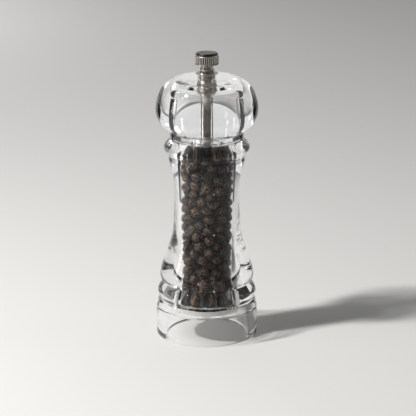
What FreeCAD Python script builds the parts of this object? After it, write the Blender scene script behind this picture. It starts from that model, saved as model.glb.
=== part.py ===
import FreeCAD, Part
import math
import os

# Hand pepper mill: clear acrylic body and head, steel shaft, ceramic grinding set in a nylon carrier.
# Sizes are in millimetres. The origin is the centre of the foot, and +Z runs up the shaft.

Vector = FreeCAD.Vector
ORIGIN = Vector(0, 0, 0)
UP = Vector(0, 0, 1)

# Clearances
running_gap = 0.05      # a turning or sliding shaft in its hole, on the radius
seat_gap = 0.05         # a fixed insert in its hole, on the radius
loose_gap = 0.3         # parts that pass each other without touching

# Body: heights are measured from the table, radii are built outwards from the bore
body_height = 106.5
bore_radius = 13.8
mouth_chamfer = 0.6
waist_wall = 3.15
recess_depth = 18.5
shoulder_width = 4.4    # the ledge above the recess that carries the grinding set
recess_space = 3.4      # free room round the grinding set
base_wall = 5.05
base_height = 16.4      # the plain band at the bottom
base_edge = 2.4
inner_edge = 0.6
band_step = 0.85
lower_groove_rise = 4.8
lower_groove_depth = 1.4
torus_rise = 8.2
torus_depth = 0.8
ledge_rise = 10.1        # where the lower ring turns in towards the upper groove
ledge_depth = 1.2
upper_groove_rise = 13.2
upper_groove_depth = 3.7
bulge_rise = 17.3
bulge_depth = 2.0
bulge_round = 0.45       # how much narrower the bulge is close to its groove
bulge_round_share = 0.42
waist_share = 0.65      # where the waist lies between the bulge and the collar
collar_drop = 10.9      # the small collar under the neck bead, down from the top
collar_wall = 6.2
collar_round = 0.05      # how far the collar swells before it turns in
notch_drop = 9.2
notch_wall = 6.1
bead_drop = 4.4
bead_wall = 8.6
bead_round = 1.9         # the bead's top, outwards from the neck
bead_round_share = 0.36
neck_wall = 5.4

# Head
slip_ring_thick = 0.6
slip_ring_inset = 0.2   # inwards from the neck's edge
foot_height = 3.4       # the head's foot, which turns on the slip ring
foot_wall = 5.5         # outwards from the bore
foot_round = 0.5
head_inset = 0.1        # the bulb starts inside the foot's edge
head_height = 30.5
head_cavity_radius = 16.9
head_wall = 9.85
head_roof = 8.8         # acrylic over the cavity at the shaft
cavity_corner = 3.6
spigot_length = 3.2
plug_rise = 2.4         # how far the plug stands up inside the head
plug_well_radius = 10.0
plug_well_depth = 1.7
plug_hole_radius = 6.5
plug_floor = 2.4

# Shaft
shaft_radius = 3.25
square_size = 4.2       # the driving square at the top, across its flats
square_corner = 2.85
drive_play = 1.0        # bare square between the round shaft and the bushing
thread_radius = 2.0
thread_pitch = 0.8
adjust_turns = 1.0      # turns of the finial from its rest either way
thread_length = 6.6     # above the head, at rest
rotor_square = 4.6
journal_radius = 2.2

# Bushing in the roof of the head
bushing_wall = 0.75         # sleeve's wall at the square's corners
bushing_head_step = 0.6     # the head stands out from the sleeve
bushing_head_height = 6.8
bushing_groove = 0.35
bushing_groove_count = 3
lock_ring_step = 0.35       # the ring under the roof stands out from the sleeve
lock_ring_height = 0.9
lock_ring_chamfer = 0.2

# Finial
flange_radius = 5.8
flange_height = 2.2
flange_rim = 0.5
flange_chamfer = 0.3
finial_height = 8.8
finial_wall = 1.1           # round the thread, at the neck
finial_foot_step = 0.5
finial_foot_height = 0.8    # the ring at the foot of the neck
finial_foot_bulge = 0.15
finial_neck_flare = 1.0     # the neck widens by this under the drum
knurl_radius = 6.2
knurl_start = 2.9       # up from the finial's underside
knurl_height = 4.3
flute_count = 36
flute_radius = 0.32
flute_inset = 0.05      # the flutes' axes lie just outside the drum
flute_margin = 0.2      # the drum's plain edge above and below the flutes
drum_under = 0.8        # height of the drum's sloping underside
drum_round = 0.45
finial_top_radius = 4.9
finial_shoulder_radius = 5.75

# Grinding set
foot_ring_thick = 0.8
stator_flange_thick = 1.5
stator_depth = 4.3      # from the top of the flange to the bottom of the ring
stator_ring_wall = 1.8
throat_radius = 9.4
throat_lip = 1.1        # height of the flared entry
grind_radius = 8.8      # the narrowest place in the ring
grind_slope = 0.43      # widening per millimetre downwards
grind_gap = 0.75        # between ring and rotor at rest
rotor_lift = 0.6        # rotor's underside above the ring's underside
rotor_band = 3.0
rotor_height = 9.6
rotor_top_wall = 2.35       # round the shaft
rotor_pocket_wall = 2.4     # free radius round the journal, for washer and clip
rotor_pocket_depth = 1.8
stator_tooth_count = 24
rotor_tooth_count = 18
feed_tooth_count = 6
tooth_depth = 0.6
feed_depth = 1.9
tooth_skew = 25.0
stator_tooth_width = 1.6
rotor_tooth_width = 1.5
feed_tooth_width = 4.4
feed_tooth_overlap = 0.5    # the feed teeth run down into the fine ones
rotor_rim_height = 0.6      # the rotor's top edge
rotor_rim_step = 0.3
tooth_overhang = 0.3        # how far a cutter stands off the cone it cuts
clip_thick = 0.7
clip_width = 1.7
clip_groove = 0.4
clip_mouth_share = 0.8      # mouth of the clip, of its inner width
rotor_washer_thick = 0.6

# Spring and bridge
spring_length = 7.4
spring_play = 0.8           # between the coil and the shaft
spring_wire = 0.45
spring_turns = 4
spring_end_gap = 0.02       # between the coil's ends and what they press on
spring_washer_thick = 0.6
spring_washer_width = 2.25
bridge_thick = 1.0
bridge_hub_width = 2.3      # outwards from the bush
bridge_leg_end = 0.5        # the legs run in under the hub to just outside the bush
bridge_leg_width = 3.6
bridge_leg_lean = 1.8       # the legs step in above the foot, clear of the pepper
bridge_leg_bend = 2.0       # height of that step
bridge_legs = 3
leg_angle = 30.0            # direction of the first leg and the first arm
bridge_bush_wall = 1.45
bridge_bush_flange_width = 1.3
bridge_bush_flange_thick = 0.6
bridge_bush_rise = 1.5
bridge_bush_chamfer = 0.4

# Retaining plate and screws
plate_thick = 1.0
plate_ring_thick = 1.2
hub_gap = 0.2           # left under the rotor when the shaft is right down
plate_hub_width = 1.8       # outwards from the bush
plate_arm_width = 3.6
plate_post_thick = 1.4      # the arms' upright ends, outside the grinding ring
plate_ring_gap = 0.2
lower_bush_wall = 1.6
lower_bush_rise = 0.3
shaft_end_rise = 1.2    # how far the shaft stands out under the hub
screw_count = 3
screw_angle = 90.0      # direction of the first screw, midway between legs
screw_end_gap = 0.3     # left at the end of the pilot hole
screw_radius = 1.15
screw_length = 9.0
screw_head_radius = 2.0
screw_head_height = 1.0
screw_slot_width = 0.5
screw_slot_depth = 0.5

# Derived travel: how far the finial raises or lowers the shaft
adjust_travel = thread_pitch * adjust_turns

# Derived radii
waist_radius = bore_radius + waist_wall
mount_radius = bore_radius + shoulder_width
recess_radius = mount_radius + recess_space
base_radius = recess_radius + base_wall
bulge_radius = base_radius - bulge_depth
collar_radius = bore_radius + collar_wall
foot_radius = bore_radius + foot_wall
spigot_radius = bore_radius - loose_gap
head_radius = head_cavity_radius + head_wall
screw_circle = (bore_radius + mount_radius) / 2
bushing_sleeve_radius = square_corner + bushing_wall
bushing_radius = bushing_sleeve_radius + bushing_head_step
lock_ring_radius = bushing_sleeve_radius + lock_ring_step
finial_neck_radius = thread_radius + finial_wall
finial_foot_radius = finial_neck_radius + finial_foot_step
rotor_top_radius = shaft_radius + rotor_top_wall
rotor_pocket_radius = journal_radius + rotor_pocket_wall
clip_radius = journal_radius + clip_width
spring_radius = shaft_radius + spring_play + spring_wire
spring_washer_radius = shaft_radius + spring_washer_width
bridge_bush_radius = shaft_radius + bridge_bush_wall
bridge_bush_flange = bridge_bush_radius + bridge_bush_flange_width
bridge_hub_radius = bridge_bush_radius + bridge_hub_width
lower_bush_radius = journal_radius + lower_bush_wall
plate_hub_radius = lower_bush_radius + plate_hub_width

# Derived heights of the head, from the body up
foot_bottom = body_height + slip_ring_thick
head_bottom = foot_bottom + foot_height
head_top = head_bottom + head_height
cavity_roof = head_top - head_roof
bushing_shoulder = head_top - bushing_head_height
bushing_bottom = cavity_roof - drive_play
lock_ring_bottom = bushing_bottom - lock_ring_height
round_shaft_top = lock_ring_bottom - drive_play
finial_bottom = head_top + flange_height
thread_hole_top = head_top + thread_length + 2 * adjust_travel

# Derived heights of the grinding set, from the shoulder down and up
stator_top = recess_depth - foot_ring_thick
stator_bottom = stator_top - stator_depth
grind_top = stator_top - throat_lip
rotor_bottom = stator_bottom + rotor_lift
rotor_top = rotor_bottom + rotor_height
pocket_top = rotor_bottom + rotor_pocket_depth
clip_top = pocket_top - rotor_washer_thick
clip_bottom = clip_top - clip_thick
plate_top = stator_top - stator_flange_thick
plate_bottom = plate_top - plate_ring_thick
hub_bottom = rotor_bottom - adjust_travel - hub_gap - plate_thick
shaft_bottom = hub_bottom - shaft_end_rise
washer_bottom = rotor_top + spring_length
bridge_bottom = washer_bottom + spring_washer_thick + bridge_bush_flange_thick
bridge_top = bridge_bottom + bridge_thick

# Side views: shares of the height and of the widening at each point
LOWER_FLARE = ((0.08, 0.88), (0.16, 0.64), (0.24, 0.42), (0.32, 0.23), (0.44, 0.085))
UPPER_FLARE = ((0.81, 0.115), (0.93, 0.57))
HEAD_FLARE = (
    (0.079, 0.834), (0.190, 0.942), (0.397, 1.0), (0.652, 0.938),
    (0.807, 0.834), (0.911, 0.658), (0.964, 0.493), (0.994, 0.30),
)


def place(radius, height):
    """Point of a side view, in the XZ plane."""
    return Vector(radius, 0, height)


def edge(start, step):
    """One edge of a side view: a line to a point, an arc through a pair, or a curve through a list."""
    if isinstance(step, list):
        curve = Part.BSplineCurve()
        curve.interpolate([start] + [place(*spot) for spot in step])
        return curve.toShape(), place(*step[-1])
    if isinstance(step[0], tuple):
        middle, end = place(*step[0]), place(*step[1])
        return Part.Arc(start, middle, end).toShape(), end
    end = place(*step)
    return Part.LineSegment(start, end).toShape(), end


def turned(start, *steps):
    """Solid of revolution about the shaft from a closed side view."""
    first = place(*start)
    here = first
    edges = []
    for step in steps:
        piece, here = edge(here, step)
        edges.append(piece)
    edges.append(Part.LineSegment(here, first).toShape())
    return Part.Face(Part.Wire(edges)).revolve(ORIGIN, UP, 360)


def corner(centre_radius, centre_height, radius, start_angle, end_angle):
    """Quarter-round step of a side view: the pair of points that an arc needs."""
    middle_angle = math.radians((start_angle + end_angle) / 2)
    end = math.radians(end_angle)
    return (
        (centre_radius + radius * math.cos(middle_angle), centre_height + radius * math.sin(middle_angle)),
        (centre_radius + radius * math.cos(end), centre_height + radius * math.sin(end)),
    )


def disc(radius, bottom, top):
    """Solid cylinder on the shaft's line."""
    return Part.makeCylinder(radius, top - bottom, Vector(0, 0, bottom))


def ring(inner, outer, bottom, top):
    """Flat ring on the shaft's line."""
    return disc(outer, bottom, top).cut(disc(inner, bottom - 1, top + 1))


def square_bar(size, corner_radius, bottom, top):
    """Square bar whose corners are turned down to a radius."""
    bar = Part.makeBox(size, size, top - bottom, Vector(-size / 2, -size / 2, bottom))
    return bar.common(disc(corner_radius, bottom, top))


def bar(width, inner, outer, bottom, top):
    """Straight bar that points along +X from one radius to another."""
    return Part.makeBox(outer - inner, width, top - bottom, Vector(inner, -width / 2, bottom))


def around(shape, count, first_angle=0.0):
    """Copies of a shape, evenly spaced about the shaft."""
    copies = []
    for index in range(count):
        copy = shape.copy()
        copy.rotate(ORIGIN, UP, first_angle + 360.0 * index / count)
        copies.append(copy)
    return copies


def groove(radius_low, low, radius_high, high, depth, width, skew):
    """Three-sided cutter that lies along a cone, point towards the shaft, skewed by an angle."""
    reach = 1.0
    turn = math.radians(skew)
    run = math.hypot(high - low, radius_high - radius_low)
    side = run * math.tan(turn)
    outwards = depth / 2 + math.copysign(tooth_overhang, depth)
    tip = Vector(radius_low - depth, 0, low)
    left = Vector(radius_low + outwards, width / 2, low)
    right = Vector(radius_low + outwards, -width / 2, low)
    heading = Vector(radius_high - radius_low, side, high - low)
    heading.normalize()
    start = heading * -reach
    face = Part.Face(Part.makePolygon([tip + start, left + start, right + start, tip + start]))
    return face.extrude(heading * (math.hypot(run, side) + 2 * reach))


def body_shell():
    """Clear body: ringed base with a recess, waisted tube, neck bead and a straight bore."""
    span_bottom = base_height + bulge_rise
    span = body_height - collar_drop - span_bottom
    swell = bulge_radius - waist_radius
    lift = collar_radius - waist_radius
    lower = [(waist_radius + wide * swell, span_bottom + share * span) for share, wide in LOWER_FLARE]
    waist = [(waist_radius, span_bottom + waist_share * span)]
    upper = [(waist_radius + wide * lift, span_bottom + share * span) for share, wide in UPPER_FLARE]
    groove_radius = base_radius - upper_groove_depth
    groove_height = base_height + upper_groove_rise
    band_radius = base_radius - band_step
    shell = turned(
        (recess_radius + inner_edge, 0),
        (base_radius - base_edge, 0),
        corner(base_radius - base_edge, base_edge, base_edge, -90, 0),
        (base_radius, base_height - band_step),
        corner(band_radius, base_height - band_step, band_step, 0, 90),
        (band_radius, base_height + lower_groove_rise - lower_groove_depth),
        [
            (base_radius - lower_groove_depth, base_height + lower_groove_rise),
            (base_radius - torus_depth, base_height + torus_rise),
            (base_radius - ledge_depth, base_height + ledge_rise),
            (groove_radius, groove_height),
        ],
        [
            (bulge_radius - bulge_round, groove_height + (span_bottom - groove_height) * bulge_round_share),
            (bulge_radius, span_bottom),
            *lower,
            *waist,
            *upper,
            (collar_radius, span_bottom + span),
        ],
        [
            (collar_radius + collar_round, body_height - (collar_drop + notch_drop) / 2),
            (bore_radius + notch_wall, body_height - notch_drop),
            (bore_radius + (notch_wall + bead_wall) / 2, body_height - (notch_drop + bead_drop) / 2),
            (bore_radius + bead_wall, body_height - bead_drop),
            (bore_radius + neck_wall + bead_round, body_height - bead_drop * bead_round_share),
            (bore_radius + neck_wall, body_height),
        ],
        (bore_radius + mouth_chamfer, body_height),
        (bore_radius, body_height - mouth_chamfer),
        (bore_radius, recess_depth),
        (recess_radius, recess_depth),
        (recess_radius, inner_edge),
    )
    pilot = Part.makeCylinder(
        screw_radius + seat_gap, screw_length, Vector(screw_circle, 0, plate_bottom)
    )
    return shell.cut(around(pilot, screw_count, screw_angle))


def slip_ring():
    """Thin clear washer between the body's rim and the head's foot."""
    outer = bore_radius + neck_wall - slip_ring_inset
    return ring(bore_radius + mouth_chamfer, outer, body_height, foot_bottom)


def head_shell():
    """Clear bulb with a round cavity, open below, and a bore for the bushing in its roof."""
    flare = [(head_radius * wide, head_bottom + share * head_height) for share, wide in HEAD_FLARE]
    sleeve = bushing_sleeve_radius + seat_gap
    seat = bushing_radius + seat_gap
    return turned(
        (head_cavity_radius, head_bottom),
        (foot_radius - head_inset, head_bottom),
        flare,
        (seat, head_top),
        (seat, bushing_shoulder),
        (sleeve, bushing_shoulder),
        (sleeve, cavity_roof),
        (head_cavity_radius - cavity_corner, cavity_roof),
        corner(head_cavity_radius - cavity_corner, cavity_roof - cavity_corner, cavity_corner, 90, 0),
    )


def head_plug():
    """Clear plug that closes the cavity: foot, spigot for the body's mouth and a stepped well."""
    seat = head_cavity_radius - seat_gap
    floor = body_height - spigot_length
    return turned(
        (shaft_radius + loose_gap, floor),
        (spigot_radius - foot_round, floor),
        corner(spigot_radius - foot_round, floor + foot_round, foot_round, -90, 0),
        (spigot_radius, foot_bottom),
        (foot_radius - foot_round, foot_bottom),
        corner(foot_radius - foot_round, foot_bottom + foot_round, foot_round, -90, 0),
        (foot_radius, head_bottom - foot_round),
        corner(foot_radius - foot_round, head_bottom - foot_round, foot_round, 0, 90),
        (seat, head_bottom),
        (seat, head_bottom + plug_rise - foot_round),
        corner(seat - foot_round, head_bottom + plug_rise - foot_round, foot_round, 0, 90),
        (plug_well_radius, head_bottom + plug_rise),
        (plug_well_radius, head_bottom + plug_rise - plug_well_depth),
        (plug_hole_radius, head_bottom + plug_rise - plug_well_depth),
        (plug_hole_radius, floor + plug_floor),
        (shaft_radius + loose_gap, floor + plug_floor),
    )


def drive_bushing():
    """Grooved metal insert in the head's roof, with the square hole that turns the shaft."""
    blank = disc(bushing_radius, bushing_shoulder, head_top)
    blank = blank.fuse(disc(bushing_sleeve_radius, bushing_bottom, bushing_shoulder)).removeSplitter()
    rings = []
    for index in range(bushing_groove_count):
        height = bushing_shoulder + bushing_head_height * (index + 1) / (bushing_groove_count + 1)
        rings.append(Part.makeTorus(bushing_radius, bushing_groove, Vector(0, 0, height)))
    hole = square_bar(
        square_size + 2 * running_gap, square_corner + running_gap, bushing_bottom - 1, head_top + 1
    )
    return blank.cut(rings).cut(hole)


def bushing_collar():
    """Ring that locks the bushing under the roof."""
    return turned(
        (square_corner + loose_gap, lock_ring_bottom),
        (lock_ring_radius - lock_ring_chamfer, lock_ring_bottom),
        (lock_ring_radius, lock_ring_bottom + lock_ring_chamfer),
        (lock_ring_radius, bushing_bottom),
        (square_corner + loose_gap, bushing_bottom),
    )


def finial_flange():
    """Cone-shaped washer under the finial."""
    hole = thread_radius + loose_gap
    return turned(
        (hole, head_top),
        (flange_radius - flange_chamfer, head_top),
        (flange_radius, head_top + flange_chamfer),
        (flange_radius, head_top + flange_chamfer + flange_rim),
        (finial_foot_radius, finial_bottom),
        (hole, finial_bottom),
    )


def finial_knob():
    """Fluted nut on the shaft's thread: ringed neck, fluted drum and a flat crown."""
    top = finial_bottom + finial_height
    low = finial_bottom + knurl_start
    high = low + knurl_height
    blank = turned(
        (0, finial_bottom),
        (finial_foot_radius, finial_bottom),
        (
            (finial_foot_radius + finial_foot_bulge, finial_bottom + finial_foot_height / 2),
            (finial_foot_radius - finial_foot_bulge, finial_bottom + finial_foot_height),
        ),
        (finial_neck_radius, finial_bottom + finial_foot_height),
        (finial_neck_radius, low - drum_under - finial_neck_flare / 2),
        (finial_neck_radius + finial_neck_flare, low - drum_under),
        (knurl_radius, low),
        (knurl_radius, high),
        (
            (knurl_radius - drum_round / 4, high + drum_round / 2),
            (finial_shoulder_radius, high + drum_round),
        ),
        ((finial_shoulder_radius - drum_round / 2, top - drum_round), (finial_top_radius, top)),
        (0, top),
    )
    flute = disc(flute_radius, low + flute_margin, high - flute_margin)
    flute.translate(Vector(knurl_radius + flute_inset, 0, 0))
    blank = blank.cut(around(flute, flute_count))
    return blank.cut(disc(thread_radius + running_gap, finial_bottom - 1, thread_hole_top))


def shaft():
    """Steel shaft: journal, rotor square, round rod, driving square and thread."""
    seat = pocket_top
    journal = disc(journal_radius, shaft_bottom, seat)
    lower_square = square_bar(rotor_square, shaft_radius, seat, rotor_top)
    rod = disc(shaft_radius, rotor_top, round_shaft_top)
    square_top = head_top - adjust_travel - hub_gap
    upper_square = square_bar(square_size, square_corner, round_shaft_top, square_top)
    thread = disc(thread_radius, square_top, head_top + thread_length)
    whole = journal.fuse([lower_square, rod, upper_square, thread]).removeSplitter()
    clip_seat = ring(journal_radius - clip_groove, journal_radius + 1, clip_bottom, clip_top)
    return whole.cut(clip_seat)


def rotor_washer():
    """Steel washer between the rotor and its clip."""
    return ring(
        journal_radius + running_gap, rotor_pocket_radius - loose_gap,
        clip_top, pocket_top,
    )


def rotor_clip():
    """Open spring clip in the shaft's groove."""
    inner = journal_radius - clip_groove + running_gap
    washer = ring(inner, clip_radius, clip_bottom, clip_top)
    mouth = bar(2 * inner * clip_mouth_share, 0, clip_radius + 1, clip_bottom - 1, clip_top + 1)
    return washer.cut(mouth)


def ring_radius(height):
    """Inside radius of the grinding ring's working cone at a height."""
    return grind_radius + grind_slope * (grind_top - height)


def stator_ring():
    """Fixed grinding ring: toothed cone under a flange that is clamped to the body's shoulder."""
    body = turned(
        (ring_radius(stator_bottom), stator_bottom),
        (ring_radius(stator_bottom) + stator_ring_wall, stator_bottom),
        (ring_radius(stator_bottom) + stator_ring_wall, plate_top),
        (mount_radius, plate_top),
        (mount_radius, stator_top),
        (throat_radius, stator_top),
        (grind_radius, grind_top),
    )
    tooth = groove(
        ring_radius(stator_bottom), stator_bottom, grind_radius, grind_top,
        -tooth_depth, stator_tooth_width, tooth_skew,
    )
    quarter_tooth = 90.0 / stator_tooth_count
    return body.cut(around(tooth, stator_tooth_count, quarter_tooth)).cut(screw_holes(plate_top, stator_top))


def rotor():
    """Turning burr: fine teeth on the low band, coarse feed teeth on the cone above."""
    band_low = ring_radius(rotor_bottom) - grind_gap
    band_top = rotor_bottom + rotor_band
    band_high = ring_radius(band_top) - grind_gap
    body = turned(
        (rotor_pocket_radius, rotor_bottom),
        (band_low, rotor_bottom),
        (band_high, band_top),
        (rotor_top_radius, rotor_top - rotor_rim_height),
        (rotor_top_radius - rotor_rim_step, rotor_top),
        (journal_radius / 2, rotor_top),
        (journal_radius / 2, pocket_top),
        (rotor_pocket_radius, pocket_top),
    )
    fine = groove(band_low, rotor_bottom, band_high, band_top, tooth_depth, rotor_tooth_width, -tooth_skew)
    coarse = groove(
        band_high, band_top - feed_tooth_overlap, rotor_top_radius, rotor_top,
        feed_depth, feed_tooth_width, -tooth_skew,
    )
    hole = square_bar(rotor_square + 2 * seat_gap, shaft_radius + seat_gap, pocket_top - 1, rotor_top + 1)
    body = body.cut(around(fine, rotor_tooth_count))
    return body.cut(around(coarse, feed_tooth_count)).cut(hole)


def spring():
    """Compression spring between the rotor and the bridge."""
    gap = spring_wire + spring_end_gap
    rise = spring_length - 2 * gap
    path = Part.makeHelix(rise / spring_turns, rise, spring_radius)
    wire = Part.Wire([Part.Circle(Vector(spring_radius, 0, 0), Vector(0, 1, 0), spring_wire).toShape()])
    coil = Part.Wire(path.Edges).makePipeShell([wire], True, True)
    coil.translate(Vector(0, 0, rotor_top + gap))
    return coil


def spring_washer():
    """Washer that turns with the spring under the bridge's bush."""
    return ring(
        shaft_radius + running_gap, spring_washer_radius, washer_bottom, washer_bottom + spring_washer_thick
    )


def screw_holes(bottom, top):
    """Through holes for the screws, a millimetre longer than the sheet at both ends."""
    hole = disc(screw_radius + running_gap, bottom - 1, top + 1)
    hole.translate(Vector(screw_circle, 0, 0))
    return around(hole, screw_count, screw_angle)


def bridge_cage():
    """Moulded bridge: foot ring on the shoulder, three legs and a hub over the rotor."""
    foot_outer = throat_radius + bridge_thick
    leg_inner = throat_radius - bridge_leg_lean
    leg_outer = foot_outer - bridge_leg_lean
    bend_top = recess_depth + bridge_leg_bend
    foot = ring(throat_radius, mount_radius, stator_top, recess_depth)
    hub = disc(bridge_hub_radius, bridge_bottom, bridge_top)
    side_view = [
        place(foot_outer, stator_top),
        place(foot_outer, recess_depth),
        place(leg_outer, bend_top),
        place(leg_outer, bridge_top),
        place(bridge_bush_radius + bridge_leg_end, bridge_top),
        place(bridge_bush_radius + bridge_leg_end, bridge_bottom),
        place(leg_inner, bridge_bottom),
        place(leg_inner, bend_top),
        place(throat_radius, recess_depth),
        place(throat_radius, stator_top),
    ]
    strip = Part.Face(Part.makePolygon(side_view + side_view[:1]))
    strip.translate(Vector(0, -bridge_leg_width / 2, 0))
    limb = strip.extrude(Vector(0, bridge_leg_width, 0))
    cage = foot.fuse(around(limb, bridge_legs, leg_angle) + [hub]).removeSplitter()
    bush_hole = disc(bridge_bush_radius, bridge_bottom - 1, bridge_top + 1)
    return cage.cut(screw_holes(stator_top, recess_depth)).cut(bush_hole)


def bridge_bush():
    """Plastic bush in the bridge's hub, where the shaft turns and slides."""
    inner = shaft_radius + running_gap
    return turned(
        (inner, bridge_bottom - bridge_bush_flange_thick),
        (bridge_bush_flange, bridge_bottom - bridge_bush_flange_thick),
        (bridge_bush_flange, bridge_bottom),
        (bridge_bush_radius - seat_gap, bridge_bottom),
        (bridge_bush_radius - seat_gap, bridge_top + bridge_bush_rise - bridge_bush_chamfer),
        (bridge_bush_radius - seat_gap - bridge_bush_chamfer, bridge_top + bridge_bush_rise),
        (inner, bridge_top + bridge_bush_rise),
    )


def retaining_plate():
    """Plate under the grinding ring: a screwed ring, three dropped arms and a hub."""
    ring_inner = ring_radius(stator_bottom) + stator_ring_wall + plate_ring_gap
    hub_top = hub_bottom + plate_thick
    rim = ring(ring_inner, mount_radius, plate_bottom, plate_top)
    hub = disc(plate_hub_radius, hub_bottom, hub_top)
    arm = bar(plate_arm_width, plate_hub_radius - 1, ring_inner + plate_post_thick, hub_bottom, hub_top)
    post = bar(plate_arm_width, ring_inner, ring_inner + plate_post_thick, hub_bottom, plate_top)
    limbs = around(arm, screw_count, leg_angle) + around(post, screw_count, leg_angle)
    plate = rim.fuse(limbs + [hub]).removeSplitter()
    bush_hole = disc(lower_bush_radius, hub_bottom - 1, hub_top + 1)
    return plate.cut(screw_holes(plate_bottom, plate_top)).cut(bush_hole)


def lower_bush():
    """Plastic bush in the retaining plate, round the shaft's journal."""
    return ring(
        journal_radius + running_gap, lower_bush_radius - seat_gap,
        hub_bottom - lower_bush_rise, hub_bottom + plate_thick,
    )


def plate_screws():
    """Screws that clamp the plate, the grinding ring and the bridge to the body."""
    centre = Vector(screw_circle, 0, plate_bottom - screw_head_height)
    head = Part.makeCylinder(screw_head_radius, screw_head_height, centre)
    shank = Part.makeCylinder(screw_radius, screw_length + screw_head_height - screw_end_gap, centre)
    slot = Part.makeBox(
        3 * screw_head_radius, screw_slot_width, screw_slot_depth,
        centre - Vector(1.5 * screw_head_radius, screw_slot_width / 2, 0),
    )
    screw = head.fuse(shank).removeSplitter().cut(slot)
    return Part.makeCompound(around(screw, screw_count, screw_angle))


PIECES = (
    body_shell, bridge_cage, bridge_bush, stator_ring, retaining_plate, lower_bush, plate_screws,
    slip_ring, spring_washer, spring, shaft, rotor, rotor_washer, rotor_clip,
    head_shell, head_plug, drive_bushing, bushing_collar, finial_flange, finial_knob,
)

os.makedirs("parts", exist_ok=True)
for piece in PIECES:
    shape = piece()
    shape.exportStep("parts/" + piece.__name__ + ".step")
    state = "valid" if shape.isValid() else "NOT VALID"
    print(piece.__name__, state, len(shape.Solids), round(shape.Volume, 1))
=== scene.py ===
import math

import bmesh
import bpy
import numpy as np
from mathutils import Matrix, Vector


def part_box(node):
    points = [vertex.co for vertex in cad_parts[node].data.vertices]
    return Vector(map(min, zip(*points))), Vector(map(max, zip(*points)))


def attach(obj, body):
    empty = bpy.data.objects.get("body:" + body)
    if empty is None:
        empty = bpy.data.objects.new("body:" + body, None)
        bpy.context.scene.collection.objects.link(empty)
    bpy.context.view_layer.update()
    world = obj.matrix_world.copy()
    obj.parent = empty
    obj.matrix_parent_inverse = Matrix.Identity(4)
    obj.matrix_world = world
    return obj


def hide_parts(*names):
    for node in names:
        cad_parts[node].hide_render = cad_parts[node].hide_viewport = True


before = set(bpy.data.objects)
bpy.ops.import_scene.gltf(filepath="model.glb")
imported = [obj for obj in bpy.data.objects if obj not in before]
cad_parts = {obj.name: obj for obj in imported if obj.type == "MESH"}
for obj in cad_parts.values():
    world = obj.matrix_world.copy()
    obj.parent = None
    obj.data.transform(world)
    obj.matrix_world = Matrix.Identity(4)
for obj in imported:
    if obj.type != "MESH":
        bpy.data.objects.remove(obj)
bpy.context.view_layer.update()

MM = 0.001
SEED = 7


# ---------------------------------------------------------------- sizes, from the frame

def reach(node):
    """Outer radius of a round node."""
    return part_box(node)[1].x


def low(node):
    """Height of a node's lowest point."""
    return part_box(node)[0].z


def high(node):
    """Height of a node's highest point."""
    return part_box(node)[1].z


SPIGOT_DEPTH = 3.8 * MM         # height of the spigot under the head's foot
CAGE_HEIGHT = 14.7 * MM         # from the shoulder over the recess to the top of the bridge
PLATE_OVER_BORE = 4.4 * MM      # how far the retaining plate reaches out past the bore
PLATE_GAP = 3.4 * MM            # from the retaining plate to the recess wall

BODY_TOP = high("body_shell")
BASE_RADIUS = reach("body_shell")
HEAD_RADIUS = reach("head_shell")
HEAD_LOW, HEAD_TOP = low("head_shell"), high("head_shell")
SPIGOT_LOW, PLUG_TOP = low("head_plug"), high("head_plug")
FOOT_LOW = SPIGOT_LOW + SPIGOT_DEPTH
FOOT_RADIUS = reach("head_plug")
SHOULDER = high("bridge_cage") - CAGE_HEIGHT
BORE = reach("retaining_plate") - PLATE_OVER_BORE
RECESS = reach("retaining_plate") + PLATE_GAP
SHAFT_RADIUS = reach("shaft")
BUSHING_RADIUS = reach("drive_bushing")
ROTOR_TOP = high("rotor")
BUSH_TOP = high("bridge_bush")


# ---------------------------------------------------------------- shapes

def smooth_curve(points, steps):
    """Cubic curve through three or more points, spaced by chord length, as a list of (radius, height)."""
    pts = np.array(points, dtype=float)
    gaps = np.linalg.norm(np.diff(pts, axis=0), axis=1)
    n = len(pts)
    matrix = np.zeros((n, n))
    right = np.zeros((n, 2))
    matrix[0, 0] = matrix[-1, -1] = 1
    for i in range(1, n - 1):
        matrix[i, i - 1], matrix[i, i + 1] = gaps[i - 1], gaps[i]
        matrix[i, i] = 2 * (gaps[i - 1] + gaps[i])
        right[i] = 6 * ((pts[i + 1] - pts[i]) / gaps[i] - (pts[i] - pts[i - 1]) / gaps[i - 1])
    bend = np.linalg.solve(matrix, right)
    curve = []
    for i, gap in enumerate(gaps):
        count = max(2, int(round(steps * gap / gaps.sum())))
        for k in range(count):
            b = k / count
            a = 1 - b
            spot = a * pts[i] + b * pts[i + 1]
            spot += ((a ** 3 - a) * bend[i] + (b ** 3 - b) * bend[i + 1]) * gap * gap / 6
            curve.append(tuple(spot))
    curve.append(tuple(pts[-1]))
    return curve


def arc(centre, radius, start, end, steps=8):
    """Round stretch of a side view, angles in degrees."""
    turns = [math.radians(start + (end - start) * k / steps) for k in range(steps + 1)]
    return [(centre[0] + radius * math.cos(a), centre[1] + radius * math.sin(a)) for a in turns]


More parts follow.
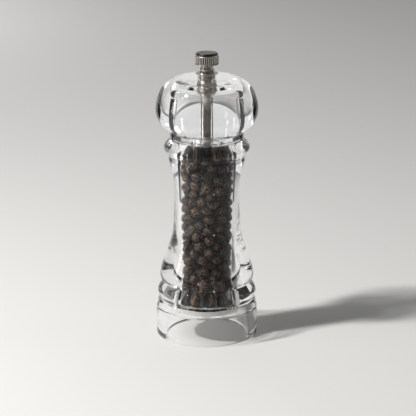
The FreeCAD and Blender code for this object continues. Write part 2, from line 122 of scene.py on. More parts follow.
def lathe(name, outline, segments=192, closed=True):
    """Solid of revolution about Z from a side view in metres; ends on the axis close by themselves."""
    mesh = bpy.data.meshes.new(name)
    work = bmesh.new()
    rings = []
    for radius, height in outline:
        if radius < 1e-7:
            rings.append([work.verts.new((0, 0, height))])
            continue
        spots = [2 * math.pi * k / segments for k in range(segments)]
        rings.append([work.verts.new((radius * math.cos(a), radius * math.sin(a), height)) for a in spots])
    pairs = list(zip(rings, rings[1:]))
    if closed:
        pairs.append((rings[-1], rings[0]))
    for one, two in pairs:
        if len(one) == 1 and len(two) == 1:
            continue
        for k in range(segments):
            m = (k + 1) % segments
            corners = [one[k % len(one)], one[m % len(one)], two[m % len(two)], two[k % len(two)]]
            work.faces.new(list(dict.fromkeys(corners)))
    bmesh.ops.recalc_face_normals(work, faces=work.faces)
    work.to_mesh(mesh)
    work.free()
    return add_object(name, mesh, crease=30)


def add_object(name, mesh, crease=None):
    """Puts a mesh in the scene; given a crease angle, it is shaded smooth up to that angle."""
    piece = bpy.data.objects.new(name, mesh)
    bpy.context.scene.collection.objects.link(piece)
    if crease is not None:
        for face in mesh.polygons:
            face.use_smooth = True
        mesh.set_sharp_from_angle(angle=math.radians(crease))
    return piece


def finish_piece(piece, material, body, slot, *replaced):
    """Gives a piece its material and body, and hides the CAD node that it stands for; the slot is not
    used.
    """
    piece.data.materials.append(material)
    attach(piece, body)
    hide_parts(*replaced)


# ---------------------------------------------------------------- materials

MIX_A, MIX_B, MIX_RESULT = 6, 7, 2      # the colour sockets of a Mix node


def new_material(name):
    """Material with an empty node tree, with its nodes and links."""
    material = bpy.data.materials.new(name)
    material.use_nodes = True
    nodes = material.node_tree.nodes
    nodes.clear()
    return material, nodes, material.node_tree.links


def clear_plastic(name, tint, shade, roughness=0.0, ior=1.40, bright_below=None):
    """Clear plastic. Light on its way to or from a matt surface goes straight through.

    It is dimmed by the shade at each surface, and less so below the height bright_below.
    """
    longest_path = 8.5          # rays with more bounces than this go straight through too
    fade = 3 * MM
    material, nodes, links = new_material(name)
    output = nodes.new("ShaderNodeOutputMaterial")
    mix = nodes.new("ShaderNodeMixShader")
    path = nodes.new("ShaderNodeLightPath")
    glass = nodes.new("ShaderNodeBsdfPrincipled")
    glass.inputs["Base Color"].default_value = (*tint, 1)
    glass.inputs["Roughness"].default_value = roughness
    glass.inputs["IOR"].default_value = ior
    glass.inputs["Transmission Weight"].default_value = 1
    through = nodes.new("ShaderNodeBsdfTransparent")
    through.inputs["Color"].default_value = (*shade, 1)
    trapped = nodes.new("ShaderNodeMath")
    trapped.operation = "GREATER_THAN"
    trapped.inputs[1].default_value = longest_path
    lighting = nodes.new("ShaderNodeMath")
    lighting.operation = "MAXIMUM"
    either = nodes.new("ShaderNodeMath")
    either.operation = "MAXIMUM"
    either.use_clamp = True
    if bright_below is not None:
        place = nodes.new("ShaderNodeTexCoord")
        split = nodes.new("ShaderNodeSeparateXYZ")
        level = nodes.new("ShaderNodeMapRange")
        level.inputs["From Min"].default_value = bright_below - fade
        level.inputs["From Max"].default_value = bright_below + fade
        level.inputs["To Min"].default_value = 0.96
        level.inputs["To Max"].default_value = shade[0]
        links.new(place.outputs["Object"], split.inputs["Vector"])
        links.new(split.outputs["Z"], level.inputs["Value"])
        links.new(level.outputs["Result"], through.inputs["Color"])
    links.new(path.outputs["Ray Depth"], trapped.inputs[0])
    links.new(path.outputs["Is Shadow Ray"], lighting.inputs[0])
    links.new(path.outputs["Diffuse Depth"], lighting.inputs[1])
    links.new(lighting.outputs["Value"], either.inputs[0])
    links.new(trapped.outputs["Value"], either.inputs[1])
    links.new(either.outputs["Value"], mix.inputs["Fac"])
    links.new(glass.outputs["BSDF"], mix.inputs[1])
    links.new(through.outputs["BSDF"], mix.inputs[2])
    links.new(mix.outputs["Shader"], output.inputs["Surface"])
    return material


def turned_steel(name, colour, dark, roughness, scale=2600.0):
    """Stainless turned on a lathe: fine rings round the shaft, slight stains and a varying polish."""
    material, nodes, links = new_material(name)
    output = nodes.new("ShaderNodeOutputMaterial")
    steel = nodes.new("ShaderNodeBsdfPrincipled")
    steel.inputs["Metallic"].default_value = 1
    place = nodes.new("ShaderNodeTexCoord")
    stretch = nodes.new("ShaderNodeMapping")
    stretch.inputs["Scale"].default_value = (60, 60, scale)
    lines = nodes.new("ShaderNodeTexNoise")
    lines.inputs["Scale"].default_value = 1
    lines.inputs["Detail"].default_value = 4
    stains = nodes.new("ShaderNodeTexNoise")
    stains.inputs["Scale"].default_value = 240
    stains.inputs["Detail"].default_value = 3
    links.new(place.outputs["Object"], stretch.inputs["Vector"])
    links.new(stretch.outputs["Vector"], lines.inputs["Vector"])
    links.new(place.outputs["Object"], stains.inputs["Vector"])
    tone = nodes.new("ShaderNodeValToRGB")
    tone.color_ramp.elements[0].position = 0.3
    tone.color_ramp.elements[0].color = (*dark, 1)
    tone.color_ramp.elements[1].position = 0.7
    tone.color_ramp.elements[1].color = (*colour, 1)
    links.new(lines.outputs["Fac"], tone.inputs["Fac"])
    links.new(tone.outputs["Color"], steel.inputs["Base Color"])
    polish = nodes.new("ShaderNodeMapRange")
    polish.inputs["To Min"].default_value = roughness * 0.75
    polish.inputs["To Max"].default_value = roughness * 1.3
    links.new(stains.outputs["Fac"], polish.inputs["Value"])
    links.new(polish.outputs["Result"], steel.inputs["Roughness"])
    relief = nodes.new("ShaderNodeBump")
    relief.inputs["Strength"].default_value = 0.12
    relief.inputs["Distance"].default_value = 0.05 * MM
    links.new(lines.outputs["Fac"], relief.inputs["Height"])
    links.new(relief.outputs["Normal"], steel.inputs["Normal"])
    links.new(steel.outputs["BSDF"], output.inputs["Surface"])
    return material


def moulded_plastic(name, colour, dark_above=None):
    """Moulded plastic or ceramic with a faint grain; given a height, nearly black above it."""
    material, nodes, links = new_material(name)
    output = nodes.new("ShaderNodeOutputMaterial")
    plastic = nodes.new("ShaderNodeBsdfPrincipled")
    grain = nodes.new("ShaderNodeTexNoise")
    grain.inputs["Scale"].default_value = 1800
    tone = nodes.new("ShaderNodeValToRGB")
    tone.color_ramp.elements[0].color = (*[c * 0.9 for c in colour], 1)
    tone.color_ramp.elements[1].color = (*colour, 1)
    place = nodes.new("ShaderNodeTexCoord")
    links.new(place.outputs["Object"], grain.inputs["Vector"])
    links.new(grain.outputs["Fac"], tone.inputs["Fac"])
    if dark_above is None:
        links.new(tone.outputs["Color"], plastic.inputs["Base Color"])
    else:
        # nearly black above the given height
        split = nodes.new("ShaderNodeSeparateXYZ")
        level = nodes.new("ShaderNodeMapRange")
        level.inputs["From Min"].default_value = dark_above + 0.1 * MM
        level.inputs["From Max"].default_value = dark_above + 0.6 * MM
        level.inputs["To Max"].default_value = 0.97
        darkening = nodes.new("ShaderNodeMix")
        darkening.data_type = "RGBA"
        darkening.inputs[MIX_B].default_value = (0.02, 0.014, 0.01, 1)
        links.new(place.outputs["Object"], split.inputs["Vector"])
        links.new(split.outputs["Z"], level.inputs["Value"])
        links.new(level.outputs["Result"], darkening.inputs[0])
        links.new(tone.outputs["Color"], darkening.inputs[MIX_A])
        links.new(darkening.outputs[MIX_RESULT], plastic.inputs["Base Color"])
    plastic.inputs["Roughness"].default_value = 0.42
    links.new(plastic.outputs["BSDF"], output.inputs["Surface"])
    return material


def pepper_skin(name):
    """Dried berry skin: black in the folds, brown and tan on the ridges, times the shade value, a random
    tone with painted shade.
    """
    material, nodes, links = new_material(name)
    output = nodes.new("ShaderNodeOutputMaterial")
    skin = nodes.new("ShaderNodeBsdfPrincipled")
    skin.inputs["Roughness"].default_value = 0.62
    skin.inputs["Specular IOR Level"].default_value = 0.2
    ridge = nodes.new("ShaderNodeAttribute")
    ridge.attribute_name = "ridge"
    shade = nodes.new("ShaderNodeAttribute")
    shade.attribute_name = "shade"
    place = nodes.new("ShaderNodeTexCoord")
    grain = nodes.new("ShaderNodeTexNoise")
    grain.inputs["Scale"].default_value = 1500
    grain.inputs["Detail"].default_value = 6
    links.new(place.outputs["Object"], grain.inputs["Vector"])
    height = nodes.new("ShaderNodeMath")
    height.operation = "MULTIPLY_ADD"
    height.inputs[1].default_value = 0.45
    links.new(grain.outputs["Fac"], height.inputs[0])
    links.new(ridge.outputs["Fac"], height.inputs[2])
    tone = nodes.new("ShaderNodeValToRGB")
    ramp = tone.color_ramp
    ramp.elements[0].position = 0.3
    ramp.elements[0].color = (0.002, 0.0016, 0.0012, 1)
    ramp.elements[1].position = 1.0
    ramp.elements[1].color = (0.4, 0.235, 0.135, 1)
    middle = ramp.elements.new(0.6)
    middle.color = (0.012, 0.0075, 0.005, 1)
    links.new(height.outputs["Value"], tone.inputs["Fac"])
    # multiplies in the shade value: a random tone with painted shade
    tone_and_painted_shade_mix = nodes.new("ShaderNodeMix")
    tone_and_painted_shade_mix.data_type = "RGBA"
    tone_and_painted_shade_mix.blend_type = "MULTIPLY"
    tone_and_painted_shade_mix.inputs[0].default_value = 1
    links.new(tone.outputs["Color"], tone_and_painted_shade_mix.inputs[MIX_A])
    links.new(shade.outputs["Fac"], tone_and_painted_shade_mix.inputs[MIX_B])
    links.new(tone_and_painted_shade_mix.outputs[MIX_RESULT], skin.inputs["Base Color"])
    relief = nodes.new("ShaderNodeBump")
    relief.inputs["Strength"].default_value = 0.5
    relief.inputs["Distance"].default_value = 0.12 * MM
    links.new(grain.outputs["Fac"], relief.inputs["Height"])
    links.new(relief.outputs["Normal"], skin.inputs["Normal"])
    links.new(skin.outputs["BSDF"], output.inputs["Surface"])
    return material


WATER_CLEAR = (0.985, 0.99, 0.992)
ACRYLIC_SHADE = (0.74, 0.74, 0.745)
ACRYLIC = clear_plastic("acrylic", WATER_CLEAR, ACRYLIC_SHADE)
BODY_ACRYLIC = clear_plastic("acrylic_body", WATER_CLEAR, ACRYLIC_SHADE, ior=1.3, bright_below=14 * MM)
NYLON = clear_plastic("nylon", (0.93, 0.94, 0.94), (0.8, 0.8, 0.8), roughness=0.12)
STEEL = turned_steel("turned_steel", (0.5, 0.47, 0.43), (0.36, 0.335, 0.31), 0.24)
PRESSED = turned_steel("pressed_steel", (0.86, 0.85, 0.83), (0.74, 0.73, 0.71), 0.42, scale=60.0)
BURR = moulded_plastic("ceramic", (0.9, 0.89, 0.87))
CARRIER = moulded_plastic("white_nylon", (0.92, 0.92, 0.9), dark_above=SHOULDER)
# painted shade: darker copies of the knob's steel, a nearly black one for its top and a dark one for its
# flutes
TOP_PAINTED_SHADE = turned_steel("top_painted_shade_steel", (0.06, 0.057, 0.053), (0.04, 0.038, 0.035), 0.34, scale=300.0)
FLUTE_PAINTED_SHADE = turned_steel("flute_painted_shade_steel", (0.13, 0.12, 0.11), (0.07, 0.066, 0.06), 0.4)
WIRE = turned_steel("wire_steel", (0.5, 0.49, 0.48), (0.38, 0.37, 0.36), 0.28, scale=300.0)
ACETAL = moulded_plastic("acetal", (0.72, 0.7, 0.64), dark_above=SHOULDER)
PEPPER = pepper_skin("pepper_skin")


# ---------------------------------------------------------------- clear pieces

def make_body():
    """Ringed base, waisted tube and neck bead, with the bore and the open recess."""
    foot_edge, base_edge, soft_edge = 2.4 * MM, 0.85 * MM, 0.6 * MM
    base = 16.4 * MM
    band, band_top = BASE_RADIUS - base_edge, base + 3.4 * MM
    bulge, bulge_height = BASE_RADIUS - 2.0 * MM, base + 17.3 * MM
    bulge_foot = (bulge - 0.45 * MM, base + 14.92 * MM)
    waist = BORE + 3.15 * MM
    collar, collar_height = BORE + 6.2 * MM, BODY_TOP - 10.9 * MM
    span = collar_height - bulge_height
    # mm in from the base's side and over its top; then shares of the height and of the bulge's or the
    # collar's width over the waist; then mm out from the bore and under the rim
    rings = ((1.4, 4.8), (0.8, 8.2), (1.2, 10.1), (3.7, 13.2))
    sweep = ((0.08, 0.88), (0.16, 0.64), (0.24, 0.42), (0.32, 0.23), (0.44, 0.085), (0.65, 0.0))
    flare = ((0.81, 0.115), (0.93, 0.57))
    bead = ((6.25, 10.05), (6.1, 9.2), (7.35, 6.9), (8.6, 4.4), (7.3, 1.58), (5.4, 0))
    ringed = [(BASE_RADIUS - inset * MM, base + rise * MM) for inset, rise in rings]
    beaded = [(BORE + out * MM, BODY_TOP - drop * MM) for out, drop in bead]

    outline = [(RECESS + soft_edge, 0)]
    outline += arc((BASE_RADIUS - foot_edge, foot_edge), foot_edge, -90, 0, 14)
    outline += arc((band, base - base_edge), base_edge, 0, 90)
    outline += [(band, band_top)]
    outline += smooth_curve([(band, band_top), *ringed], 40)[1:]
    outline += smooth_curve([
        ringed[-1], bulge_foot, (bulge, bulge_height),
        *[(waist + (bulge - waist) * w, bulge_height + s * span) for s, w in sweep],
        *[(waist + (collar - waist) * w, bulge_height + s * span) for s, w in flare],
        (collar, collar_height),
    ], 160)[1:]
    outline += smooth_curve([(collar, collar_height), *beaded], 60)[1:]
    outline += [(BORE + soft_edge, BODY_TOP), (BORE, BODY_TOP - soft_edge)]
    outline += [(BORE, SHOULDER), (RECESS, SHOULDER), (RECESS, soft_edge)]
    piece = lathe("clear_body", outline, 256)
    finish_piece(piece, BODY_ACRYLIC, "case", "clear_acrylic", "body_shell")


def top_rings(outline):
    """Shallow turned rings on the top of the bulb: a crease and two soft waves round the finial."""
    zone = 8 * MM
    rings = ((18.3, 0.14, 0.9), (11.4, 0.1, 1.4), (7.4, 0.07, 0.9))     # radius, depth and width in mm
    turned = []
    for radius, height in outline:
        if height > HEAD_TOP - zone:
            for centre, depth, width in rings:
                height -= depth * MM * math.exp(-((radius - centre * MM) / (width * MM)) ** 2)
        turned.append((radius, height))
    return turned


def make_head():
    """Bulb with a round cavity. Its bore lies inside the bushing, as round a moulded-in insert."""
    height = HEAD_TOP - HEAD_LOW
    cavity, roof, corner = HEAD_RADIUS - 9.85 * MM, HEAD_TOP - 8.8 * MM, 3.6 * MM
    seat = BUSHING_RADIUS + 0.05 * MM
    bore, lip = seat - 1.0 * MM, 0.1 * MM
    shares = (
        (0.079, 0.834), (0.190, 0.942), (0.397, 1.0), (0.652, 0.938),
        (0.807, 0.834), (0.911, 0.658), (0.964, 0.493), (0.994, 0.30),
    )
    outline = [(cavity, HEAD_LOW)]
    outline += top_rings(smooth_curve([
        (FOOT_RADIUS - 0.1 * MM, HEAD_LOW),
        *[(HEAD_RADIUS * w, HEAD_LOW + s * height) for s, w in shares],
        (seat, HEAD_TOP),
    ], 260))
    outline += [(bore, HEAD_TOP - lip), (bore, roof)]
    outline += arc((cavity - corner, roof - corner), corner, 90, 0, 14)
    piece = lathe("clear_head", outline, 256)
    finish_piece(piece, ACRYLIC, "head", "clear_acrylic", "head_shell")


def make_plug():
    """Foot and spigot under the bulb, with the stepped well round the shaft."""
    seat = HEAD_RADIUS - 9.9 * MM
    hole = SHAFT_RADIUS + 0.3 * MM
    spigot = BORE - 0.3 * MM
    edge = 0.5 * MM
    step, step_height = 10 * MM, PLUG_TOP - 1.7 * MM
    well, well_floor = 6.5 * MM, SPIGOT_LOW + 2.4 * MM
    outline = [(hole, SPIGOT_LOW)]
    outline += arc((spigot - edge, SPIGOT_LOW + edge), edge, -90, 0)
    outline += [(spigot, FOOT_LOW)]
    outline += arc((FOOT_RADIUS - edge, FOOT_LOW + edge), edge, -90, 0)
    outline += arc((FOOT_RADIUS - edge, HEAD_LOW - edge), edge, 0, 90)
    outline += [(seat, HEAD_LOW)]
    outline += arc((seat - edge, PLUG_TOP - edge), edge, 0, 90)
    outline += [(step, PLUG_TOP), (step, step_height), (well, step_height)]
    outline += [(well, well_floor), (hole, well_floor)]
    piece = lathe("clear_plug", outline, 256)
    finish_piece(piece, ACRYLIC, "head", "clear_acrylic", "head_plug")


def make_slip_ring():
    """Thin washer on the body's rim."""
    gap = 0.02 * MM
    inner, outer = BORE + 0.65 * MM, reach("slip_ring")
    bottom, top = BODY_TOP + gap, FOOT_LOW - gap
    piece = lathe("clear_slip_ring", [(inner, bottom), (outer, bottom), (outer, top), (inner, top)], 192)
    finish_piece(piece, NYLON, "case", "nylon_ring", "slip_ring")


# ---------------------------------------------------------------- peppercorns

def corn_shape(rng, detail):
    """One dried peppercorn of unit radius: points, faces and how high each point stands on a ridge."""
    work = bmesh.new()
    bmesh.ops.create_icosphere(work, subdivisions=detail, radius=1)
    spots = np.array([v.co[:] for v in work.verts])
    faces = [[v.index for v in f.verts] for f in work.faces]
    work.free()
    waves = np.zeros(len(spots))
    for strength, spread in ((1.0, 3.4), (0.85, 5.0)):
        for _ in range(2):
            way = rng.normal(size=3)
            way /= np.linalg.norm(way)
            turn = rng.uniform(0, 2 * math.pi)
            bend = rng.normal(size=3) * 0.9
            fold = np.abs(np.sin(spread * (spots @ way) + np.sin(spots @ bend * 3) + turn))
            waves = np.maximum(waves, strength * (1 - fold) ** 3)
    waves = (waves - waves.min()) / np.ptp(waves)
    shaped = spots * (0.9 + 0.11 * waves)[:, None]
    squash = 1 + rng.uniform(-0.06, 0.06, size=3)
    return shaped * squash, faces, waves


def turn_matrix(rng):
    """Random rotation, from a random quaternion."""
    q = rng.normal(size=4)
    w, x, y, z = q / np.linalg.norm(q)
    return np.array([
        [1 - 2 * (y * y + z * z), 2 * (x * y - z * w), 2 * (x * z + y * w)],
        [2 * (x * y + z * w), 1 - 2 * (x * x + z * z), 2 * (y * z - x * w)],
        [2 * (x * z - y * w), 2 * (y * z + x * w), 1 - 2 * (x * x + y * y)],
    ])


def core_radius(height):
    """Radius round the shaft that the grinding set and the shaft need, at a height."""
    rotor_top = ROTOR_TOP + 0.9 * MM
    if height < rotor_top:
        share = max(0.0, (height - SHOULDER) / (rotor_top - SHOULDER))
        return (8.3 - 1.9 * share) * MM
    if height < BUSH_TOP:
        return 7.9 * MM
    return SHAFT_RADIUS + 0.2 * MM


def pour_pepper(rng):
    """Drops the corns one by one between shaft and bore; each takes the lowest of some tried places."""
    fill = SPIGOT_LOW - 0.3 * MM
    most_misses, most_corns, tries = 25, 700, 44
    wall_gap, shaft_gap = 0.06 * MM, 0.15 * MM
    nesting = 0.96              # dented corns sit a little closer than balls
    core_share = 0.92           # how much of a corn's radius has to clear the core
    placed = np.zeros((0, 4))
    misses = 0
    while misses < most_misses and len(placed) < most_corns:
        size = rng.uniform(2.35, 2.7) * MM
        outer = BORE - size - wall_gap
        inner = SHAFT_RADIUS + size + shaft_gap
        best = None
        for attempt in range(tries):
            angle = rng.uniform(0, 2 * math.pi)
            radius = outer if attempt % 2 else math.sqrt(rng.uniform(inner ** 2, outer ** 2))
            x, y = radius * math.cos(angle), radius * math.sin(angle)
            z = SHOULDER + size
            if len(placed):
                flat = (placed[:, 0] - x) ** 2 + (placed[:, 1] - y) ** 2
                need = (placed[:, 3] + size) ** 2 * nesting
                near = flat < need
                if near.any():
                    z = max(z, float((placed[near, 2] + np.sqrt(need[near] - flat[near])).max()))
            if any(radius - size * core_share < core_radius(z + k * size) for k in (-0.7, 0, 0.7)):
                continue
            if best is None or z < best[2]:
                best = (x, y, z, size)
        if best is None or best[2] + size > fill:
            misses += 1
            continue
        placed = np.vstack([placed, best])
    return placed


def join_corns(group, fine, plain, rng):
    """Points, faces and point values of a group of corns; those by the bore get the fine shapes.

    The shade value is a random tone times painted shade: darker inwards from the bore, which paints shade
    into the gaps between corns, and darker towards +X, the side turned away from the key lamp.
    """
    seen_depth, lit_start, lit_depth = 2.2 * MM, 3.0 * MM, 2.6 * MM
    points, faces, ridges, tone_and_painted_shade, start = [], [], [], [], 0
    for x, y, z, size in group:
        seen = math.hypot(x, y) > BORE - size - seen_depth
        shapes = fine if seen else plain
        spots, tris, ridge = shapes[rng.integers(len(shapes))]
        turned = spots @ turn_matrix(rng).T * size + np.array([x, y, z])
        points.append(turned)
        faces += [[k + start for k in tri] for tri in tris]
        ridges.append(ridge)
        # painted shade: darker inwards from the bore and towards +X, times a random tone
        depth = (np.hypot(turned[:, 0], turned[:, 1]) - (BORE - lit_start)) / lit_depth
        side = 1 - 0.8 * np.clip(turned[:, 0] / BORE, 0, 1)
        tone_and_painted_shade.append(rng.uniform(0.55, 1.1) * np.clip(depth, 0.04, 1) ** 1.4 * side)
        start += len(spots)
    return np.vstack(points), faces, {"ridge": np.concatenate(ridges), "shade": np.concatenate(tone_and_painted_shade)}


def make_pepper():
    """The fill, as a few joined pieces from the bottom to the top."""
    rng = np.random.default_rng(SEED)
    corns = pour_pepper(rng)
    fine = [corn_shape(rng, 4) for _ in range(9)]
    plain = [corn_shape(rng, 3) for _ in range(4)]
    corns = corns[np.argsort(corns[:, 2])]
    for index, group in enumerate(np.array_split(corns, 8)):
        points, faces, values = join_corns(group, fine, plain, rng)
        mesh = bpy.data.meshes.new(f"peppercorns_{index}")
        mesh.from_pydata(points.tolist(), [], faces)
        for label, value in values.items():
            layer = mesh.attributes.new(label, "FLOAT", "POINT")
            layer.data.foreach_set("value", value.astype(np.float32))
        piece = add_object(f"peppercorns_{index}", mesh, crease=180)
        piece.data.materials.append(PEPPER)
        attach(piece, "case")


# ---------------------------------------------------------------- metal pieces

def make_shaft():
    """Round rod with its squares, journal and thread, smooth enough for close views."""
    bottom, top = low("shaft"), high("shaft")
    chamfer = 0.25 * MM
    journal_tip, journal, journal_top = 1.9 * MM, 2.2 * MM, low("rotor") + 1.8 * MM
    square, square_top = 3.1 * MM, ROTOR_TOP - 0.01 * MM
    neck, step = 2.4 * MM, low("bushing_collar") - 1.0 * MM
    root, crest, pitch = 1.65 * MM, 2.0 * MM, 0.8 * MM
    thread_low, thread_high = HEAD_TOP - 1 * MM, top - 0.3 * MM
    outline = [(0, bottom), (journal_tip, bottom), (journal, bottom + chamfer), (journal, journal_top)]
    outline += [(square, journal_top), (square, square_top)]
    outline += [(SHAFT_RADIUS, ROTOR_TOP), (SHAFT_RADIUS, step - chamfer), (SHAFT_RADIUS - chamfer, step)]
    outline += [(neck, step), (neck, thread_low)]
    for k in range(int((thread_high - thread_low) / pitch)):
        z = thread_low + k * pitch
        outline += [(root, z), (crest, z + pitch / 2)]
    outline += [(root, top), (0, top)]
    piece = lathe("steel_shaft", outline, 96, closed=False)
    finish_piece(piece, STEEL, "spindle", "brushed_stainless", "shaft")


def make_bushing():
    """Grooved insert in the roof of the head."""
    bottom, top = low("drive_bushing"), HEAD_TOP
    hole, sleeve = 2.95 * MM, BUSHING_RADIUS - 0.6 * MM
    band_height, bands = 6.8 * MM, 4
    shoulder = top - band_height
    edge, groove = 0.2 * MM, 0.35 * MM
    outline = [(hole, bottom), (sleeve, bottom), (sleeve, shoulder)]
    outline += arc((BUSHING_RADIUS - edge, shoulder + edge), edge, -90, 0, 4)
    for k in range(1, bands):
        outline += arc((BUSHING_RADIUS, shoulder + band_height * k / bands), groove, 270, 90, 8)
    outline += [(BUSHING_RADIUS, top - edge), (BUSHING_RADIUS - edge, top), (hole, top)]
    piece = lathe("grooved_bushing", outline, 96)
    finish_piece(piece, STEEL, "head", "brushed_stainless", "drive_bushing")


def make_collar():
    """Ring that locks the bushing under the roof."""
    bottom, top = low("bushing_collar"), high("bushing_collar")
    outer = reach("bushing_collar")
    hole, low_edge, top_edge = 3.15 * MM, 0.2 * MM, 0.15 * MM
    outline = [(hole, bottom), (outer - low_edge, bottom), (outer, bottom + low_edge)]
    outline += [(outer, top - top_edge), (outer - top_edge, top), (hole, top)]
    piece = lathe("steel_collar", outline, 96)
    finish_piece(piece, STEEL, "head", "brushed_stainless", "bushing_collar")


def make_flange():
    """Cone-shaped washer under the knob."""
    bottom, top = low("finial_flange"), high("finial_flange")
    outer = reach("finial_flange")
    hole, rim, rim_flat = 2.3 * MM, 0.35 * MM, outer - 0.3 * MM
    cone = (
        (outer - 0.25 * MM, bottom + 0.78 * MM), (4.6 * MM, bottom + 1.35 * MM),
        (3.75 * MM, top - 0.2 * MM), (3.6 * MM, top),
    )
    outline = [(hole, bottom), (rim_flat, bottom)]
    outline += arc((outer - rim, bottom + 0.4 * MM), rim, -80, 70, 8)
    outline += smooth_curve(cone, 14)
    outline += [(hole, top)]
    piece = lathe("steel_flange", outline, 96)
    finish_piece(piece, STEEL, "nut_seat", "brushed_stainless", "finial_flange")


def knob_outline(bottom, top, outer, flute_low, flute_high):
    """Side view of the knob: hole, ringed neck, drum and domed top."""
    hole, hole_depth = 2.05 * MM, 6 * MM
    ring, drum_edge, rim, dome = 0.33 * MM, 0.42 * MM, 0.3 * MM, 0.75 * MM
    margin, rows = 0.15 * MM, 13
    neck = ((3.1, 1.0), (3.05, 1.5), (3.5, 2.0))        # radius and height over the bottom in mm
    outline = [(0, bottom + hole_depth), (hole, bottom + hole_depth), (hole, bottom), (3.4 * MM, bottom)]
    outline += arc((3.45 * MM, bottom + 0.35 * MM), ring, -80, 80, 6)
    outline += [(3.2 * MM, bottom + 0.8 * MM)]
    outline += smooth_curve([(radius * MM, bottom + rise * MM) for radius, rise in neck], 8)
    outline += [(4.1 * MM, bottom + 2.1 * MM), (outer - 0.6 * MM, flute_low - 0.45 * MM)]
    outline += arc((outer - 0.45 * MM, flute_low - 0.02 * MM), drum_edge, -60, 0, 5)
    for share in np.linspace(0, 1, rows):
        outline.append((outer, flute_low + margin + (flute_high - flute_low - 2 * margin) * share))
    outline += arc((outer - rim, flute_high), rim, 0, 80, 5)
    outline += [(outer - drum_edge, flute_high + drum_edge)]
    outline += arc((outer - 1.2 * MM, top - dome), dome, 10, 90, 8)
    outline += [(0, top)]
    return outline


def cut_flutes(mesh, outer, flute_low, flute_high, count):
    """Draws the drum's side in between the ribs, fading out at both ends."""
    depth, side_skin, ends = 0.55 * MM, 0.02 * MM, 0.12
    for vertex in mesh.vertices:
        x, y, z = vertex.co
        radius = math.hypot(x, y)
        if radius < outer - side_skin or not flute_low < z < flute_high:
            continue
        share = (z - flute_low) / (flute_high - flute_low)
        fade = min(1.0, share / ends, (1 - share) / ends)
        phase = (math.degrees(math.atan2(y, x)) * count / 360) % 1
        dip = max(0.0, 0.35 + math.cos((phase - 0.5) * 2 * math.pi)) / 1.35
        scale = (radius - depth * dip * fade) / radius
        vertex.co = Vector((x * scale, y * scale, z))


def make_knob():
    """Fluted drum on a ringed neck, with painted shade in the flutes and on the top: darker copies of its
    steel.
    """
    bottom, top = low("finial_knob"), high("finial_knob")
    outer = reach("finial_knob")
    flute_low, flute_high = bottom + 2.9 * MM, bottom + 7.2 * MM
    count, per_flute = 36, 10
    outline = knob_outline(bottom, top, outer, flute_low, flute_high)
    piece = lathe("fluted_knob", outline, count * per_flute, closed=False)
    cut_flutes(piece.data, outer, flute_low, flute_high, count)
    finish_piece(piece, STEEL, "top_nut", "brushed_stainless", "finial_knob")
    # painted shade: a dark steel in the flutes and a nearly black steel on the top
    piece.data.materials.append(FLUTE_PAINTED_SHADE)
    piece.data.materials.append(TOP_PAINTED_SHADE)
    painted_flute_slot, painted_top_slot = 1, 2
    flute_shade_from, flute_shade_to = outer * 0.8, outer - 0.3 * MM
    for face in piece.data.polygons:
        height, radius = face.center.z, face.center.xy.length
        if flute_low < height < flute_high and flute_shade_from < radius < flute_shade_to:
            face.material_index = painted_flute_slot
        if height > flute_high + 0.4 * MM:
            face.material_index = painted_top_slot


def dress_frame():
    """Materials for the CAD nodes that stay."""
    finishes = {
        "bridge_cage": CARRIER, "retaining_plate": CARRIER,
        "bridge_bush": ACETAL, "lower_bush": ACETAL,
        "stator_ring": BURR, "rotor": BURR,
        "spring_washer": PRESSED, "rotor_washer": PRESSED, "plate_screws": PRESSED,
        "spring": WIRE, "rotor_clip": WIRE,
    }
    for node, material in finishes.items():
        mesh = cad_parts[node].data
        if not mesh.materials:
            mesh.materials.append(material)
        for index in range(len(mesh.materials)):
            mesh.materials[index] = material


# ---------------------------------------------------------------- studio

FRONT_LIGHT = 0.08      # the dark room behind the camera
BACK_LIGHT = 0.78       # the pale room behind the mill
ROOM_SHARE = 0.42       # how much of the room's light counts on matt surfaces
CARD_TURN, CARD_WIDTH, CARD_TOP, CARD_DISTANCE = 54, 0.1, 0.5, 0.27     # degrees, metres

WHITE = (1, 1, 1)
LAMPS = (
    # name, place, target, width, depth, watts, colour
    ("key", (-0.7, -0.33, 0.92), (0, 0, 0.03), 0.075, 0.075, 15.0, (1, 0.985, 0.965)),
    ("far_left", (-0.5, 1.0, 0.4), (-0.5, 1.0, 0), 0.3, 0.3, 1.5, WHITE),
    ("left_box", (-0.75, -0.12, 0.22), (0, 0, 0.1), 0.1, 0.34, 0.9, WHITE),
    ("right_box", (0.75, 0.0, 0.22), (0, 0, 0.1), 0.1, 0.34, 0.4, WHITE),
)


def dark_card(name, side):
    """Dark flag beside the mill: it gives the clear edges their dark lines and is not seen itself."""
    mesh = bpy.data.meshes.new(name)
    turn = math.radians(CARD_TURN)
    centre = Vector((side * CARD_DISTANCE * math.sin(turn), CARD_DISTANCE * math.cos(turn), 0))
    across = Vector((side * math.cos(turn), -math.sin(turn), 0)) * CARD_WIDTH / 2
    corners = [centre - across, centre + across]
    corners += [corners[1] + Vector((0, 0, CARD_TOP)), corners[0] + Vector((0, 0, CARD_TOP))]
    mesh.from_pydata([c[:] for c in corners], [], [(0, 1, 2, 3)])
    card = add_object(name, mesh)
    material, nodes, links = new_material(name)
    output = nodes.new("ShaderNodeOutputMaterial")
    cloth = nodes.new("ShaderNodeBsdfDiffuse")
    cloth.inputs["Color"].default_value = (0.03, 0.032, 0.036, 1)
    links.new(cloth.outputs["BSDF"], output.inputs["Surface"])
    mesh.materials.append(material)
    card.visible_camera = False
    card.visible_diffuse = False
    card.visible_shadow = False


def area_lamp(name, place, target, width, depth, watts, colour):
    """Soft rectangular lamp aimed at a target."""
    data = bpy.data.lights.new(name, "AREA")
    data.shape = "RECTANGLE"
    data.size, data.size_y = width, depth
    data.energy = watts
    data.color = colour
    lamp = bpy.data.objects.new(name, data)
    bpy.context.scene.collection.objects.link(lamp)
    lamp.location = place
    aim = Vector(target) - Vector(place)
    lamp.rotation_euler = aim.to_track_quat("-Z", "Y").to_euler()


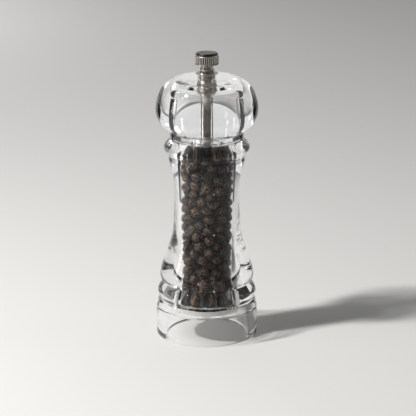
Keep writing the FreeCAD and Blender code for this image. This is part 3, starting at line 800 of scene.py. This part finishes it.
def make_floor():
    """Plain pale floor."""
    mesh = bpy.data.meshes.new("floor")
    half = 6.0                  # metres
    level = -0.05 * MM          # just under the foot
    corners = [(-half, -half, level), (half, -half, level), (half, half, level), (-half, half, level)]
    mesh.from_pydata(corners, [], [(0, 1, 2, 3)])
    floor = add_object("floor", mesh)
    material, nodes, links = new_material("pale_floor")
    output = nodes.new("ShaderNodeOutputMaterial")
    paint = nodes.new("ShaderNodeBsdfPrincipled")
    paint.inputs["Base Color"].default_value = (0.78, 0.775, 0.765, 1)
    paint.inputs["Roughness"].default_value = 0.7
    paint.inputs["Specular IOR Level"].default_value = 0.2
    links.new(paint.outputs["BSDF"], output.inputs["Surface"])
    mesh.materials.append(material)


def make_world():
    """Room that is dark in front and pale at the back, and counts less on matt surfaces."""
    world = bpy.data.worlds.new("studio")
    bpy.context.scene.world = world
    world.use_nodes = True
    nodes, links = world.node_tree.nodes, world.node_tree.links
    nodes.clear()
    output = nodes.new("ShaderNodeOutputWorld")
    sky = nodes.new("ShaderNodeBackground")
    sky.inputs["Color"].default_value = (0.97, 0.97, 0.965, 1)
    direction = nodes.new("ShaderNodeTexCoord")
    split = nodes.new("ShaderNodeSeparateXYZ")
    fade = nodes.new("ShaderNodeMapRange")
    fade.interpolation_type = "SMOOTHSTEP"
    fade.inputs["From Min"].default_value = -0.35
    fade.inputs["From Max"].default_value = 0.75
    fade.inputs["To Min"].default_value = FRONT_LIGHT
    fade.inputs["To Max"].default_value = BACK_LIGHT
    links.new(direction.outputs["Generated"], split.inputs["Vector"])
    links.new(split.outputs["Y"], fade.inputs["Value"])
    path = nodes.new("ShaderNodeLightPath")
    calm = nodes.new("ShaderNodeMapRange")
    calm.inputs["To Min"].default_value = 1.0
    calm.inputs["To Max"].default_value = ROOM_SHARE
    strength = nodes.new("ShaderNodeMath")
    strength.operation = "MULTIPLY"
    links.new(path.outputs["Diffuse Depth"], calm.inputs["Value"])
    links.new(fade.outputs["Result"], strength.inputs[0])
    links.new(calm.outputs["Result"], strength.inputs[1])
    links.new(strength.outputs["Value"], sky.inputs["Strength"])
    links.new(sky.outputs["Background"], output.inputs["Surface"])


def make_camera():
    """Long lens, a metre away, looking about 15 degrees down."""
    focal_pixels, frame_pixels, sensor = 2100.0, 416.0, 36.0
    aside, distance, height, pitch = 0.0006, 1.066, 0.3567, 15.107
    data = bpy.data.cameras.new("camera")
    data.sensor_width = sensor
    data.lens = sensor * focal_pixels / frame_pixels
    data.dof.use_dof = False
    camera = bpy.data.objects.new("camera", data)
    bpy.context.scene.collection.objects.link(camera)
    camera.location = (aside, -distance, height)
    camera.rotation_euler = (math.radians(90 - pitch), 0, 0)
    bpy.context.scene.camera = camera


def make_studio():
    """Camera, room, floor, lamps, dark cards and plain colours."""
    make_camera()
    make_world()
    make_floor()
    for lamp in LAMPS:
        area_lamp(*lamp)
    dark_card("left_card", -1)
    dark_card("right_card", 1)
    bpy.context.scene.view_settings.view_transform = "Standard"


make_studio()
make_body()
make_head()
make_plug()
make_slip_ring()
make_pepper()
make_shaft()
make_bushing()
make_collar()
make_flange()
make_knob()
dress_frame()
